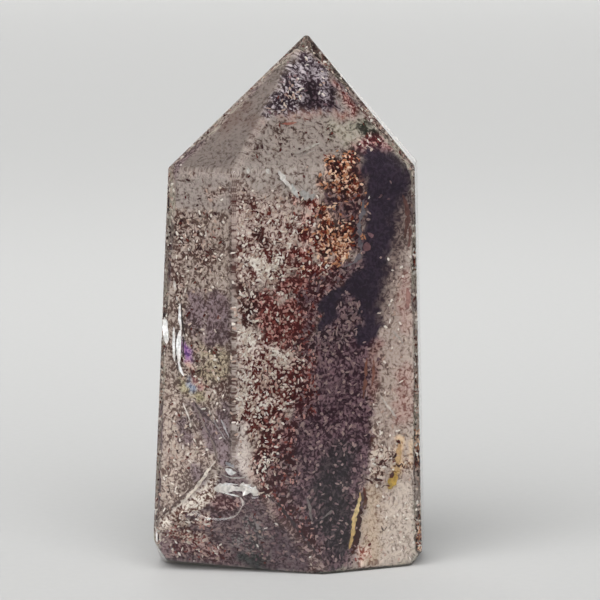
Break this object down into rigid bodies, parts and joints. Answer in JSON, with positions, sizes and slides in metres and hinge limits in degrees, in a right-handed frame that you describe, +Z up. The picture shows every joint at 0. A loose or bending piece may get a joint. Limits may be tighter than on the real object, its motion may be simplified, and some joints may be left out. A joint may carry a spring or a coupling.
{
  "type": "garden quartz point",
  "caption": "Polished six-sided quartz point with a faceted top, a flat foot and dark mineral grains grown inside it.",
  "frame": {"origin": "centre of the footprint, on the flat base", "axes": "+Z up along the crystal towards its point, -Y towards the viewer of the widest side, +X to that viewer's right"},
  "size_m": [0.0334, 0.03, 0.065],
  "materials": {
    "quartz": "polished clear quartz, faintly smoky",
    "garden_dark": "matt, dark violet-brown mineral grains inside the quartz",
    "garden_rust": "matt, rust-red and orange mineral grains inside the quartz",
    "garden_pale": "matt, cream and grey mineral grains inside the quartz",
    "fracture": "thin healed crack inside the quartz, bright and faintly rainbow-coloured"
  },
  "bodies": {
    "root": {"quartz_point": "quartz"}
  },
  "joints": []
}
